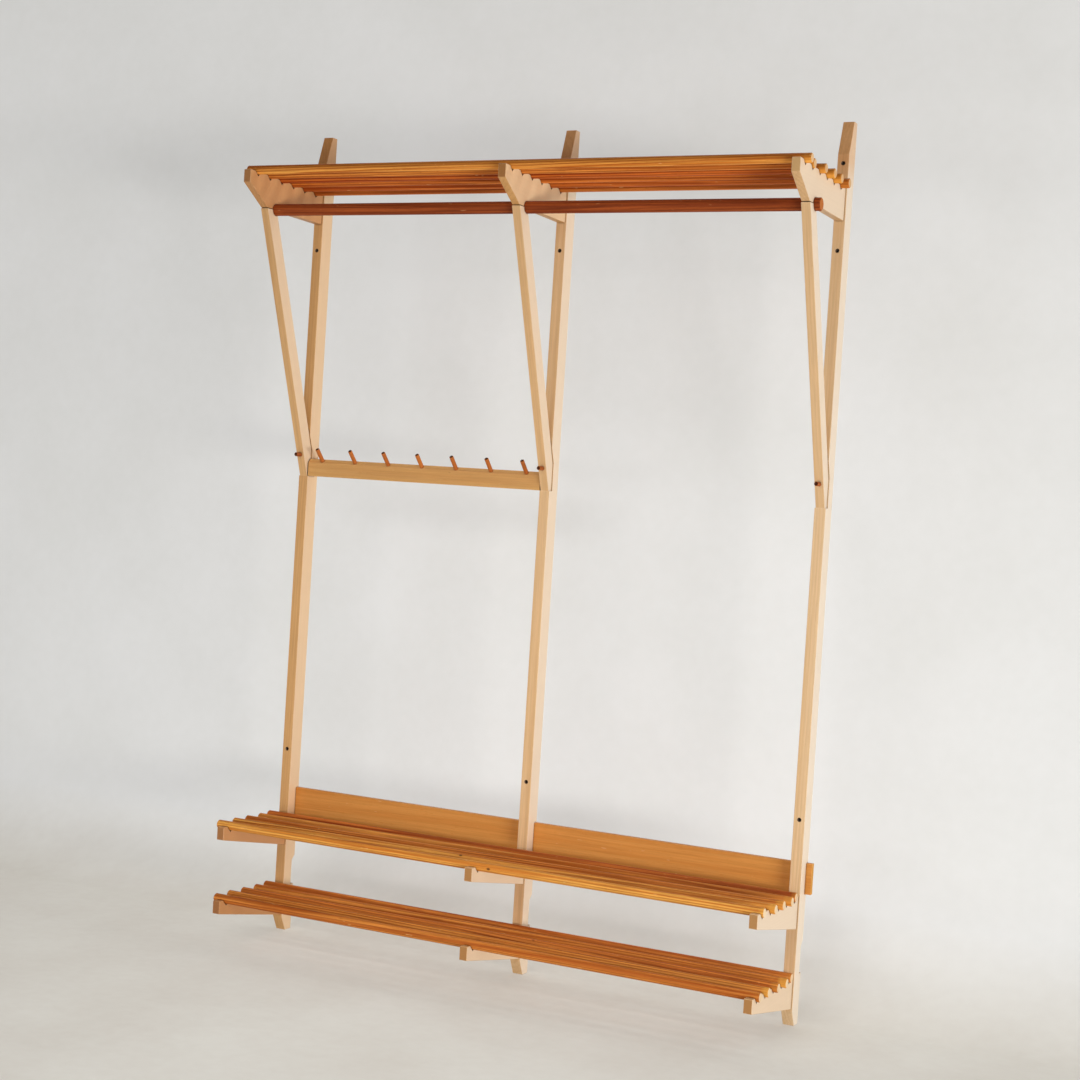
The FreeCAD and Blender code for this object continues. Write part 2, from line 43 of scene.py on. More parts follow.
# in settings, capitals and numbers name sockets, a tuple names several, and the rest are properties
def addNode(tree, kind, settings=None, links=None, out=0):  # returns one output, or all of them for None
    node = tree.nodes.new("ShaderNode" + kind)
    for key, value in (settings or {}).items():
        if key == "stops":
            ramp = node.color_ramp
            while len(ramp.elements) < len(value):
                ramp.elements.new(1.0)
            for element, (place, shade) in zip(ramp.elements, value):
                element.position = place
                element.color = (shade, shade, shade, 1)
        elif isinstance(key, tuple):
            for socket, part in zip(key, value):
                node.inputs[socket].default_value = part
        elif isinstance(key, int) or key[0].isupper():
            node.inputs[key].default_value = value
        else:
            setattr(node, key, value)
    for key, source in (links or {}).items():
        tree.links.new(source, node.inputs[key])
    return node.outputs if out is None else node.outputs[out]


def newMaterial(name):  # a material with an empty node tree
    mat = bpy.data.materials.new(name)
    mat.use_nodes = True
    mat.node_tree.nodes.clear()
    return mat, mat.node_tree


def perMm(size):  # a pattern's scale, from the real size of one of its marks
    return 1000.0 / size


def grainScale(along, across):  # the same for marks that lie along the grain
    return perMm(along), perMm(across), perMm(across)


# Birch, planed and clear lacquered: close, faint grain, browner front edges, side faces painted paler as a
# highlight, dark sawn ends
birch = {
    "name": "birchPlanedLacquered",
    "early": ("E0BE94", "CE9752"), "late": ("D3AC7C", "B9803F"),
    # the side tones paint the side faces paler: a painted highlight
    "side": ("F1E5D6", "E9C497"), "sideShare": 0.95,
    "end": ("AA7C46", "96602E"), "endShare": 0.90, "streak": ("D0A672", "B67C3E"),
    # the dark tone and its share: knots, and dirt with painted shade in creases and joints
    # the grime tone: near-black countersinks, grime and painted shade
    "worn": "F0DFC8", "wornShare": 0.40, "knotDirtShade": "4A2810", "dirtAndShadeShare": 0.75, "holeGrimeShade": "2A180C",
    "ringMm": 7.0, "ringShare": 0.55, "waveMm": 9.0, "pith": (0.050, 0.085),
    "fibreMm": 2.6, "fibreShare": 0.10, "streakMm": 14.0, "streakShare": 0.30, "flecks": 0.25,
    "rough": (0.42, 0.58), "coat": 0.08, "coatRough": 0.32, "shine": 0.30, "relief": 0.18,
    "nicks": 0.0, "knotMm": 0.0,
}

# The same birch on the left, browner in the photograph: faces as deep as the edges
turnedBirch = dict(
    birch, name="birchPlanedLacquerTurned",
    early=("CF9A62", "BC834B"), late=("BC8550", "A56C38"), side=("D6A272", "C48A56"), streak=("BE8650", "A76E3A"),
    end=("A87646", "925E34"),
)

# Oregon pine, turned to rods and oiled: strong orange and red-brown growth lines, pale sawn ends
oregonPine = {
    "name": "oregonPineTurnedOiled",
    "early": ("E9A84E", "D06F2B"), "late": ("A64E10", "702404"),
    # the amber tone paints the rods' right ends: a painted highlight and a paler finish
    "side": None, "amber": "E2A546", "amberHighlightShare": 0.75,
    "end": ("F2DCB8", "E8C9A0"), "endShare": 0.90, "streak": ("C46C1E", "8E3408"),
    "worn": "E8B878", "wornShare": 0.40, "knotDirtShade": "3A1804", "dirtAndShadeShare": 0.70,
    "ringMm": 5.6, "ringShare": 0.95, "waveMm": 14.0, "pith": (0.034, 0.052),
    "fibreMm": 2.4, "fibreShare": 0.24, "streakMm": 9.0, "streakShare": 0.70, "flecks": 0.30,
    "rough": (0.55, 0.70), "coat": 0.0, "coatRough": 0.30, "shine": 0.14, "relief": 0.15,
    "nicks": 0.5, "knotMm": 150.0,
}

# The same pine from the heart of the tree, turned and oiled: dark red-brown with near-black late wood
heartPine = dict(
    oregonPine, name="heartPineTurnedOiled",
    early=("AE5624", "944218"), late=("6A2609", "521A03"), streak=("7E320E", "642207"),
    end=("C87A3C", "B0602A"), worn="C68A5A", wornShare=0.3, ringMm=6.0,
)

# Beech board, sawn and oiled: even amber with fine short rays
beech = {
    "name": "beechSawnOiled",
    "early": ("D0A063", "CE8C42"), "late": ("C08B50", "BC742B"),
    "side": None,
    "end": ("CE9C5C", "D69C48"), "endShare": 0.80, "streak": ("C08A50", "B86C24"),
    "worn": "E4C08C", "wornShare": 0.35, "knotDirtShade": "4A260C", "dirtAndShadeShare": 0.75,
    "ringMm": 9.0, "ringShare": 0.40, "waveMm": 16.0, "pith": (0.065, 0.110),
    "fibreMm": 2.8, "fibreShare": 0.10, "streakMm": 14.0, "streakShare": 0.35, "flecks": 0.45,
    "rough": (0.50, 0.65), "coat": 0.0, "coatRough": 0.30, "shine": 0.22, "relief": 0.20,
    "nicks": 0.25, "knotMm": 210.0,
}

# Beech pegs, turned and oiled: orange-brown, with near-black ends of end grain and grime, partly painted shade
pegBeech = dict(
    beech, name="beechPegTurnedOiled",
    early=("D07E3C", "A85828"), late=("B05E24", "7E3A16"), streak=("B4642A", "86401A"),
    end=("42200C", "361608"), endShare=0.95, worn="D8A468", ringMm=3.2, fibreMm=1.5, shine=0.12,
    nicks=0.0, knotMm=0.0,
)

# What all the woods share: a span is a noise's size in mm along and across the grain, and a cut is the part
# of a value, from none to all, over which a mark comes in
marks = {
    "heartAlong": 9.0, "leanDegrees": 0.8, "leanSideways": -0.7,
    "waveSpan": (1100, 110), "ringStops": ((0.0, 0.05), (0.40, 0.05), (0.80, 1.0), (0.94, 0.90), (1.0, 0.05)),
    "fadeSpan": (450, 38), "fadeCut": (0.3, 0.7), "fadeTo": (0.45, 1.0),
    "streakLong": 760, "streakCut": (0.46, 0.60),
    "fibreLong": 90, "fibreCut": (0.3, 0.7), "fibrePale": 0.6,
    "dashSpan": (14, 1.5), "dashCut": (0.62, 0.74), "dashDeeper": 0.3,
    "knotHigh": 90, "knotCut": (0.018, 0.038), "knotTo": (0.85, 0.0),
    "sideCut": (0.6, 0.95), "sideBlend": 0.85, "endCut": (0.78, 0.92),
    "edgeMm": 2.2, "edgeCut": (0.985, 0.90), "rubMm": 38, "rubCut": (0.40, 0.66),
    # the crease span and cut: dirt and painted shade near other pieces
    "nickSpan": (26, 5), "nickCut": (0.735, 0.77), "creaseMm": 7.0, "creaseCut": (0.80, 0.32),
    "glossCut": (0.25, 0.75), "endDull": 0.22, "wornDull": 0.15, "ringHeight": 0.35, "reliefMm": 0.6,
}


def woodMaterial(node, group, number, seed):
    wood, tone = group["wood"], group["tones"][number]
    draw = np.random.default_rng(seed)
    mat, tree = newMaterial(f'{wood["name"]}.{node}')
    grainAxis = Vector(group["grain"]).normalized()
    turn = grainAxis.rotation_difference(Vector((1, 0, 0)))  # the grain is laid along X before any pattern
    low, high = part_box(node)
    angle = draw.uniform(0, 2 * math.pi)  # where the tree's heart lies, seen from the piece's middle
    reach = draw.uniform(*wood["pith"])
    along = draw.uniform(-marks["heartAlong"], marks["heartAlong"])
    heart = Vector((along, reach * math.cos(angle), reach * math.sin(angle)))
    lean = math.radians(draw.uniform(-marks["leanDegrees"], marks["leanDegrees"]))  # never quite along the tree
    sideLean = lean * marks["leanSideways"]
    tilt = Matrix.Rotation(lean, 3, "Y") @ Matrix.Rotation(sideLean, 3, "Z") @ turn.to_matrix()
    coords = addNode(tree, "TexCoord", out=None)
    place, facing = coords["Object"], coords["Normal"]
    laid = addNode(tree, "Mapping", {
        "Location": heart - tilt @ ((low + high) / 2), "Rotation": tilt.to_euler()}, {"Vector": place})

    # growth rings: distance from the tree's heart, waved by a slow noise, cut into even steps
    slow = addNode(tree, "Mapping", {"Scale": grainScale(*marks["waveSpan"])}, {"Vector": laid})
    wave = addNode(tree, "TexNoise", {"Scale": 1.0, "Detail": 3.0, "Roughness": 0.55}, {"Vector": slow}, "Color")
    sway = wood["waveMm"] / 1000
    waved = addNode(tree, "VectorMath", {"operation": "MULTIPLY_ADD", 1: (0, sway, sway)}, {0: wave, 2: laid})
    flat = addNode(tree, "VectorMath", {"operation": "MULTIPLY", 1: (0, 1, 1)}, {0: waved})
    radius = addNode(tree, "VectorMath", {"operation": "LENGTH"}, {0: flat}, "Value")
    steps = addNode(tree, "Math", {"operation": "MULTIPLY", 1: perMm(wood["ringMm"])}, {0: radius})
    phase = addNode(tree, "Math", {"operation": "FRACT"}, {0: steps})
    ring = addNode(tree, "ValToRGB", {"stops": marks["ringStops"]}, {0: phase})  # slowly darker, then a sharp end
    patch = addNode(tree, "Mapping", {"Scale": grainScale(*marks["fadeSpan"])}, {"Vector": laid})
    fade = addNode(tree, "TexNoise", {"Scale": 1.0, "Detail": 2.0}, {"Vector": patch})
    strong = addNode(tree, "MapRange", {(1, 2): marks["fadeCut"], (3, 4): marks["fadeTo"]}, {0: fade})
    ringShare = addNode(tree, "Math", {"operation": "MULTIPLY"}, {0: ring, 1: strong})
    ringShare = addNode(tree, "Math", {"operation": "MULTIPLY", 1: wood["ringShare"]}, {0: ringShare})
    early, late = between(wood["early"], tone), between(wood["late"], tone)
    tint = addNode(tree, "Mix", {"data_type": "RGBA", 6: early, 7: late}, {0: ringShare}, 2)

    # broad streaks of darker heartwood, a few to each piece
    broad = addNode(tree, "Mapping", {"Scale": grainScale(marks["streakLong"], wood["streakMm"])}, {"Vector": waved})
    streak = addNode(tree, "TexNoise", {"Scale": 1.0, "Detail": 2.0, "Roughness": 0.6}, {"Vector": broad})
    streakShare = addNode(tree, "MapRange", {(1, 2): marks["streakCut"], 4: wood["streakShare"]}, {0: streak})
    streakTone = between(wood["streak"], tone)
    tint = addNode(tree, "Mix", {"data_type": "RGBA", 7: streakTone}, {0: streakShare, 6: tint}, 2)

    # fibres: long thin lines, drawn coarser than real ones (0.2 mm) so that they show
    fine = addNode(tree, "Mapping", {"Scale": grainScale(marks["fibreLong"], wood["fibreMm"])}, {"Vector": waved})
    fibre = addNode(tree, "TexNoise", {"Scale": 1.0, "Detail": 3.0, "Roughness": 0.65}, {"Vector": fine})
    fibreTo = (1.0 - wood["fibreShare"], 1.0 + wood["fibreShare"] * marks["fibrePale"])
    fibreTone = addNode(tree, "MapRange", {(1, 2): marks["fibreCut"], (3, 4): fibreTo}, {0: fibre})
    tint = addNode(tree, "Mix", {"data_type": "RGBA", "blend_type": "MULTIPLY", 0: 1.0}, {6: tint, 7: fibreTone}, 2)

    # rays and pores: short dark dashes, 7 mm long where the real ones are 1 to 3 mm
    short = addNode(tree, "Mapping", {"Scale": grainScale(*marks["dashSpan"])}, {"Vector": laid})
    dash = addNode(tree, "TexNoise", {"Scale": 1.0, "Detail": 1.0}, {"Vector": short})
    dashShare = addNode(tree, "MapRange", {(1, 2): marks["dashCut"], 4: wood["flecks"]}, {0: dash})
    dashTone = between(wood["late"], min(1.0, tone + marks["dashDeeper"]))
    tint = addNode(tree, "Mix", {"data_type": "RGBA", 7: dashTone}, {0: dashShare, 6: tint}, 2)

    if wood["knotMm"]:  # a small dark knot in some cells of this length, about 5 mm long and 3 mm high
        cells = addNode(tree, "Mapping", {"Scale": grainScale(wood["knotMm"], marks["knotHigh"])}, {"Vector": laid})
        knot = addNode(tree, "TexVoronoi", {"Scale": 1.0}, {"Vector": cells}, "Distance")
        knotShare = addNode(tree, "MapRange", {(1, 2): marks["knotCut"], (3, 4): marks["knotTo"]}, {0: knot})
        tint = addNode(tree, "Mix", {"data_type": "RGBA", 7: linear(wood["knotDirtShade"])}, {0: knotShare, 6: tint}, 2)

    # faces: sides painted paler than front edges as a painted highlight, and sawn ends across the grain
    if wood["side"]:
        sideways = addNode(tree, "VectorMath", {"operation": "DOT_PRODUCT", 1: (1, 0, 0)}, {0: facing}, "Value")
        sideways = addNode(tree, "Math", {"operation": "ABSOLUTE"}, {0: sideways})
        sideShare = addNode(tree, "MapRange", {(1, 2): marks["sideCut"], 4: wood["sideShare"]}, {0: sideways})
        sideTone = between(wood["side"], tone)
        highlightedSide = addNode(tree, "Mix", {"data_type": "RGBA", 0: marks["sideBlend"], 7: sideTone}, {6: tint}, 2)
        tint = addNode(tree, "Mix", {"data_type": "RGBA"}, {0: sideShare, 6: tint, 7: highlightedSide}, 2)
    if "ends" in group:  # right ends outside the bracket, painted more amber: a painted highlight where light from the right falls, and a paler finish
        rightward = addNode(tree, "SeparateXYZ", None, {0: place}, "X")
        outside = addNode(tree, "MapRange", {(1, 2): group["endSpan"], 4: group["ends"][number]}, {0: rightward})
        amber = addNode(tree, "Mix", {
            "data_type": "RGBA", 0: wood["amberHighlightShare"], 7: linear(wood["amber"])}, {6: tint}, 2)
        tint = addNode(tree, "Mix", {"data_type": "RGBA"}, {0: outside, 6: tint, 7: amber}, 2)
    endways = addNode(tree, "VectorMath", {"operation": "DOT_PRODUCT", 1: grainAxis}, {0: facing}, "Value")
    endways = addNode(tree, "Math", {"operation": "ABSOLUTE"}, {0: endways})
    endShare = addNode(tree, "MapRange", {(1, 2): marks["endCut"]}, {0: endways})
    endTone = between(wood["end"], tone)
    sawn = addNode(tree, "Mix", {"data_type": "RGBA", 0: wood["endShare"], 7: endTone}, {6: tint}, 2)
    tint = addNode(tree, "Mix", {"data_type": "RGBA"}, {0: endShare, 6: tint, 7: sawn}, 2)

    if "topShadeTone" in group:  # tops above the hat shelf painted browner: painted shade cast by the hat shelf, warmed by light off the rods
        level = addNode(tree, "SeparateXYZ", None, {0: place}, "Z")
        topShadeShare = addNode(tree, "MapRange", {(1, 2): group["topShadeSpan"]}, {0: level})
        tint = addNode(tree, "Mix", {"data_type": "RGBA", "blend_type": "MULTIPLY", 7: linear(group["topShadeTone"])},
                       {0: topShadeShare, 6: tint}, 2)
    # under sides brighter than the fronts in the photograph, upper sides as a guess
    if "upperShadeTone" in group:  # painted light and shade: under sides painted brighter as if lit from below, fronts and upper sides painted darker as shade
        upward = addNode(tree, "SeparateXYZ", None, {0: facing}, "Z")
        upperShadeShare = addNode(tree, "MapRange", {(1, 2): group["upperShadeSpan"]}, {0: upward})
        litUnder, upper = (*[group["underLightGain"]] * 3, 1), linear(group["upperShadeTone"])
        shade = addNode(tree, "Mix", {"data_type": "RGBA", 6: litUnder, 7: upper}, {0: upperShadeShare}, 2)
        tint = addNode(tree, "Mix", {"data_type": "RGBA", "blend_type": "MULTIPLY", 0: 1.0}, {6: tint, 7: shade}, 2)

    # wear: edges rubbed paler, broken up by a noise
    rounded = addNode(tree, "Bevel", {"samples": 6, "Radius": marks["edgeMm"] / 1000})
    shape = addNode(tree, "NewGeometry", out="Normal")
    same = addNode(tree, "VectorMath", {"operation": "DOT_PRODUCT"}, {0: rounded, 1: shape}, "Value")
    corner = addNode(tree, "MapRange", {(1, 2): marks["edgeCut"]}, {0: same})
    rub = addNode(tree, "TexNoise", {
        "Scale": perMm(marks["rubMm"]), "Detail": 3.0, "Roughness": 0.6}, {"Vector": place})
    rubShare = addNode(tree, "MapRange", {(1, 2): marks["rubCut"], 4: wood["wornShare"]}, {0: rub})
    wornShare = addNode(tree, "Math", {"operation": "MULTIPLY"}, {0: corner, 1: rubShare})
    tint = addNode(tree, "Mix", {"data_type": "RGBA", 7: linear(wood["worn"])}, {0: wornShare, 6: tint}, 2)
    if wood["nicks"]:  # small pale scratches, 12 mm long and sparse
        scratch = addNode(tree, "Mapping", {"Scale": grainScale(*marks["nickSpan"])}, {"Vector": laid})
        nick = addNode(tree, "TexNoise", {"Scale": 1.0, "Detail": 1.5}, {"Vector": scratch})
        nickShare = addNode(tree, "MapRange", {(1, 2): marks["nickCut"], 4: wood["nicks"]}, {0: nick})
        tint = addNode(tree, "Mix", {"data_type": "RGBA", 7: linear(wood["worn"])}, {0: nickShare, 6: tint}, 2)

    # dirt and old glue in the joints, and painted shade in creases and notches: darkest where another piece or a
    # notch wall stands close
    gap = addNode(tree, "AmbientOcclusion", {"samples": 8, "Distance": marks["creaseMm"] / 1000}, None, "AO")
    dirtAndShadeShare = addNode(tree, "MapRange", {(1, 2): marks["creaseCut"], 4: wood["dirtAndShadeShare"]}, {0: gap})
    tint = addNode(tree, "Mix", {"data_type": "RGBA", 7: linear(wood["knotDirtShade"])}, {0: dirtAndShadeShare, 6: tint}, 2)

    for holeHeight in group.get("holes", ()):  # the front countersinks of the wall screws, painted near-black: grime and painted shade in the recess
        mouth = ((low.x + high.x) / 2, low.y, holeHeight)
        offset = addNode(tree, "VectorMath", {"operation": "SUBTRACT", 1: mouth}, {0: place})
        longer = addNode(tree, "VectorMath", {"operation": "MULTIPLY", 1: (1, group["holeSquash"], 1)}, {0: offset})
        fromAxis = addNode(tree, "VectorMath", {"operation": "LENGTH"}, {0: longer}, "Value")
        holeGrimeShadeShare = addNode(tree, "MapRange", {(1, 2): group["holeRim"], (3, 4): group["holeTo"]}, {0: fromAxis})
        tint = addNode(tree, "Mix", {"data_type": "RGBA", 7: linear(wood["holeGrimeShade"])}, {0: holeGrimeShadeShare, 6: tint}, 2)

    # finish: gloss in slow patches, duller on worn edges and sawn ends
    gloss = addNode(tree, "MapRange", {(1, 2): marks["glossCut"], (3, 4): wood["rough"]}, {0: fade})
    dull = addNode(tree, "Math", {"operation": "MULTIPLY_ADD", 1: marks["endDull"]}, {0: endShare, 2: gloss})
    dull = addNode(tree, "Math", {"operation": "MULTIPLY_ADD", 1: marks["wornDull"]}, {0: wornShare, 2: dull})
    height = addNode(tree, "Math", {"operation": "MULTIPLY_ADD", 1: marks["ringHeight"]}, {0: ring, 2: fibre})
    relief = addNode(tree, "Bump", {
        "Strength": wood["relief"], "Distance": marks["reliefMm"] / 1000}, {"Height": height})
    shader = addNode(tree, "BsdfPrincipled", {
        "IOR": 1.5, "Specular IOR Level": wood["shine"],
        "Coat Weight": wood["coat"], "Coat Roughness": wood["coatRough"]},
        {"Base Color": tint, "Roughness": dull, "Normal": relief})
    addNode(tree, "OutputMaterial", None, {"Surface": shader}, None)
    return mat


def dress(group, firstSeed):
    for number, node in enumerate(group["nodes"]):
        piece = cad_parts[node]
        piece.data.materials.clear()
        piece.data.materials.append(woodMaterial(node, group, number, firstSeed + number))
    print("dressed", group["wood"]["name"], "on", len(group["nodes"]), "nodes")


sides = ("left", "middle", "right")  # the left frame is the brownest, the right one the palest
rodEnd = (0.676, 0.684)  # where the rods leave the right brackets, in metres along X

uprights = {
    "nodes": [f"upright_{s}" for s in sides], "grain": (0, 0, 1), "tones": (0.75, 0.30, 0.10), "wood": birch,
    # the top tone and span: painted shade, browner tops above the hat shelf
    "topShadeTone": "F3DCC5", "topShadeSpan": (1.85, 1.91), "holes": (1.905, 1.714, 0.461),
    # the hole rim and fade: near-black countersinks, grime and painted shade
    "holeRim": (0.0044, 0.0052), "holeTo": (0.92, 0.0), "holeSquash": 0.12}
struts = {
    "nodes": [f"strut_{s}" for s in sides], "grain": (0, -0.351, 0.936), "tones": (0.60, 0.42, 0.22), "wood": birch}
hatBracket = {
    "nodes": ["hat_bracket_middle"], "grain": (0, 1, 0), "tones": (0.85,), "wood": birch}
rightHatBracket = {  # its sawn nose is the palest
    "nodes": ["hat_bracket_right"], "grain": (0, 1, 0), "tones": (0.38,),
    "wood": dict(birch, end=("CDA671", "C09562"))}
shoeBrackets = {
    "nodes": [f"{shelf}_shoe_bracket_{s}" for s in sides[1:] for shelf in ("upper", "lower")], "grain": (0, 1, 0),
    "tones": (0.55, 0.60, 0.32, 0.50), "wood": birch}
leftBrackets = {
    "nodes": ["hat_bracket_left", "upper_shoe_bracket_left", "lower_shoe_bracket_left"], "grain": (0, 1, 0),
    "tones": (0.45, 0.65, 0.95), "wood": turnedBirch}
hatRods = {  # the front rod is the yellowest
    "nodes": [f"hat_rod_{n}" for n in range(1, 7)], "grain": (1, 0, 0),
    "tones": (0.20, 0.56, 1.0, 0.82, 0.94, 0.72), "wood": oregonPine,
    # amber right ends: a painted highlight and a paler finish
    "ends": (0.5, 0.7, 0.8, 0.9, 0.9, 0.2), "endSpan": rodEnd,
    # the upper tone and under gain: painted light and shade on the hat rods
    "upperShadeTone": "E7D3BD", "upperShadeSpan": (-0.75, 0.15), "underLightGain": 1.25}
upperShoeRods = {
    "nodes": [f"upper_shoe_rod_{n}" for n in range(1, 6)], "grain": (1, 0, 0),
    "tones": (0.02, 0.15, 0.62, 0.40, 0.95), "wood": oregonPine,
    # amber right ends: a painted highlight and a paler finish
    "ends": (0.6, 0.7, 0.5, 0.4, 0.3), "endSpan": rodEnd}
lowerShoeRods = {
    "nodes": [f"lower_shoe_rod_{n}" for n in range(1, 6)], "grain": (1, 0, 0),
    "tones": (0.62, 0.42, 0.72, 0.50, 0.70), "wood": oregonPine,
    # amber right ends: a painted highlight and a paler finish
    "ends": (0.1, 0.8, 0.3, 0.8, 0.2), "endSpan": rodEnd}
clothesRail = {"nodes": ["clothes_rail"], "grain": (1, 0, 0), "tones": (0.4,), "wood": heartPine}
boards = {"nodes": ["peg_rail", "back_board"], "grain": (1, 0, 0), "tones": (0.15, 0.95), "wood": beech}
railPegs = {
    "nodes": [f"rail_peg_{n}" for n in range(1, 8)], "grain": (0, -1, 1),
    "tones": (0.5, 0.3, 0.6, 0.2, 0.5, 0.4, 0.6), "wood": pegBeech}
strutPegs = {
    "nodes": [f"strut_peg_{s}" for s in sides], "grain": (0, 1, 0), "tones": (0.9, 0.8, 0.9), "wood": pegBeech}
dowels = {
    "nodes": ["hat_bracket_dowels", "upper_shoe_bracket_dowels", "lower_shoe_bracket_dowels", "strut_dowels",
              "peg_rail_dowels"],
    "grain": (0, 1, 0), "tones": (0.2, 0.3, 0.3, 0.2, 0.3), "wood": dict(birch, name="birchDowelRolled", side=None)}

for place, group in enumerate((uprights, struts, hatBracket, shoeBrackets, leftBrackets, hatRods, upperShoeRods,
                               lowerShoeRods, clothesRail, boards, railPegs, strutPegs, dowels, rightHatBracket)):
    dress(group, 100 * (place + 1))


# Steel, cold headed and zinc plated: grey with a faint warm bloom
screws = {
    "node": "board_screws", "name": "steelZincPlated", "bright": "B9BAB6", "bloom": "A79F8E",
    "bloomMm": 6.0, "bloomCut": (0.3, 0.7), "rough": (0.28, 0.46), "relief": 0.15, "reliefMm": 0.2,
}


def screwMaterial():
    mat, tree = newMaterial(screws["name"])
    place = addNode(tree, "TexCoord", out="Object")
    bloom = addNode(tree, "TexNoise", {"Scale": perMm(screws["bloomMm"]), "Detail": 3.0}, {"Vector": place})
    bright, warm = linear(screws["bright"]), linear(screws["bloom"])
    tint = addNode(tree, "Mix", {"data_type": "RGBA", 6: bright, 7: warm}, {0: bloom}, 2)
    dull = addNode(tree, "MapRange", {(1, 2): screws["bloomCut"], (3, 4): screws["rough"]}, {0: bloom})
    relief = addNode(tree, "Bump", {
        "Strength": screws["relief"], "Distance": screws["reliefMm"] / 1000}, {"Height": bloom})
    shader = addNode(tree, "BsdfPrincipled", {"Metallic": 1.0},
                     {"Base Color": tint, "Roughness": dull, "Normal": relief})
    addNode(tree, "OutputMaterial", None, {"Surface": shader}, None)
    return mat


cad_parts[screws["node"]].data.materials.clear()
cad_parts[screws["node"]].data.materials.append(screwMaterial())
print("dressed the screws")


studio = {
    "floorTone": ("E7E4DC", "DED9D0"), "wallTone": ("EEEEED", "E8E8E6"), "floorGlow": 0.50, "wallGlow": 0.47,
    "floorSpan": (14.0, 14.0), "wallSpan": (14.0, 6.0), "wallGap": 0.34,
    "coveRadius": 0.32, "coveSteps": 24, "coveLift": 0.0002,
    "patchMm": 420.0, "speckMm": 30.0, "speckShare": 0.3, "patchCut": (0.45, 0.85), "blendHigh": 0.2,
    "rough": 0.85, "shine": 0.2, "farTone": "E4E4E2", "farSpan": (3.4, 5.4), "backGlow": 0.95,
}


def seenDirectly(tree):  # 1 for what the camera sees, also in a mirror or through glass
    path = addNode(tree, "LightPath", out=None)
    direct = addNode(tree, "Math", {"operation": "MAXIMUM"}, {0: path["Is Camera Ray"], 1: path["Is Glossy Ray"]})
    return addNode(tree, "Math", {"operation": "MAXIMUM"}, {0: direct, 1: path["Is Transmission Ray"]})


def sweptSheet(name, profile, wide, steps=8):  # point = (wide * (u - 1/2), profile y, profile z), u from 0 to 1
    profile = np.asarray(profile, float)
    u = np.linspace(-wide / 2, wide / 2, steps + 1)
    points = np.stack([np.repeat(u[None], len(profile), 0), np.repeat(profile[:, :1], steps + 1, 1),
                       np.repeat(profile[:, 1:], steps + 1, 1)], -1)
    row = np.arange((len(profile) - 1) * (steps + 1)).reshape(-1, steps + 1)[:, :-1].ravel()
    faces = np.stack([row, row + 1, row + steps + 2, row + steps + 1], 1)
    mesh = bpy.data.meshes.new(name)
    mesh.from_pydata(points.reshape(-1, 3).tolist(), [], faces.tolist())
    mesh.shade_smooth()
    piece = bpy.data.objects.new(name, mesh)
    scene.collection.objects.link(piece)
    return piece


# matt paint: soft patches, the low tones blend into the high ones near the floor, and both fade into the sky far
# from the rack
def paintedMaterial(name, low, high, glow):
    mat, tree = newMaterial(name)
    place = addNode(tree, "TexCoord", out="Object")
    patch = addNode(tree, "TexNoise", {"Scale": perMm(studio["patchMm"]), "Detail": 4.0}, {"Vector": place})
    speck = addNode(tree, "TexNoise", {"Scale": perMm(studio["speckMm"]), "Detail": 3.0}, {"Vector": place})
    both = addNode(tree, "Math", {"operation": "MULTIPLY_ADD", 1: studio["speckShare"]}, {0: speck, 2: patch})
    share = addNode(tree, "MapRange", {(1, 2): studio["patchCut"]}, {0: both})
    level = addNode(tree, "SeparateXYZ", None, {0: place}, "Z")
    upShare = addNode(tree, "MapRange", {2: studio["blendHigh"]}, {0: level})
    below, above = (addNode(tree, "Mix", {"data_type": "RGBA", 6: linear(pair[0]), 7: linear(pair[1])},
                            {0: share}, 2) for pair in (low, high))
    tint = addNode(tree, "Mix", {"data_type": "RGBA"}, {0: upShare, 6: below, 7: above}, 2)
    away = addNode(tree, "VectorMath", {"operation": "LENGTH"}, {0: place}, "Value")
    far = addNode(tree, "MapRange", {(1, 2): studio["farSpan"]}, {0: away})
    faded = addNode(tree, "Mix", {"data_type": "RGBA", 7: linear(studio["farTone"])}, {0: far, 6: tint}, 2)
    lit = addNode(tree, "BsdfPrincipled", {
        "Roughness": studio["rough"], "Specular IOR Level": studio["shine"]}, {"Base Color": tint})
    pale = addNode(tree, "Emission", {"Strength": 1.0}, {"Color": faded})
    strongest = addNode(tree, "Math", {"operation": "MAXIMUM", 1: glow}, {0: far})
    glowShare = addNode(tree, "Math", {"operation": "MULTIPLY"}, {0: strongest, 1: seenDirectly(tree)})
    front = addNode(tree, "MixShader", None, {0: glowShare, 1: lit, 2: pale})
    clear = addNode(tree, "BsdfTransparent")
    # the wall's back glows for bounce rays only: painted light that keeps the floor pale behind the wall
    backGlowLight = addNode(tree, "Emission", {"Strength": studio["backGlow"]}, {"Color": tint})
    bounced = addNode(tree, "LightPath", out="Is Diffuse Ray")  # keeps the floor pale behind the wall
    back = addNode(tree, "MixShader", None, {0: bounced, 1: clear, 2: backGlowLight})
    behind = addNode(tree, "NewGeometry", out="Backfacing")  # hides nothing from behind or below
    shader = addNode(tree, "MixShader", None, {0: behind, 1: front, 2: back})
    addNode(tree, "OutputMaterial", None, {"Surface": shader}, None)
    return mat


wide, deep = studio["floorSpan"]
floor = sweptSheet("studioFloor", [(-deep / 2, 0), (deep / 2, 0)], wide)
floor.data.materials.append(paintedMaterial(
    "concretePaintedMatt", studio["floorTone"], studio["floorTone"], studio["floorGlow"]))
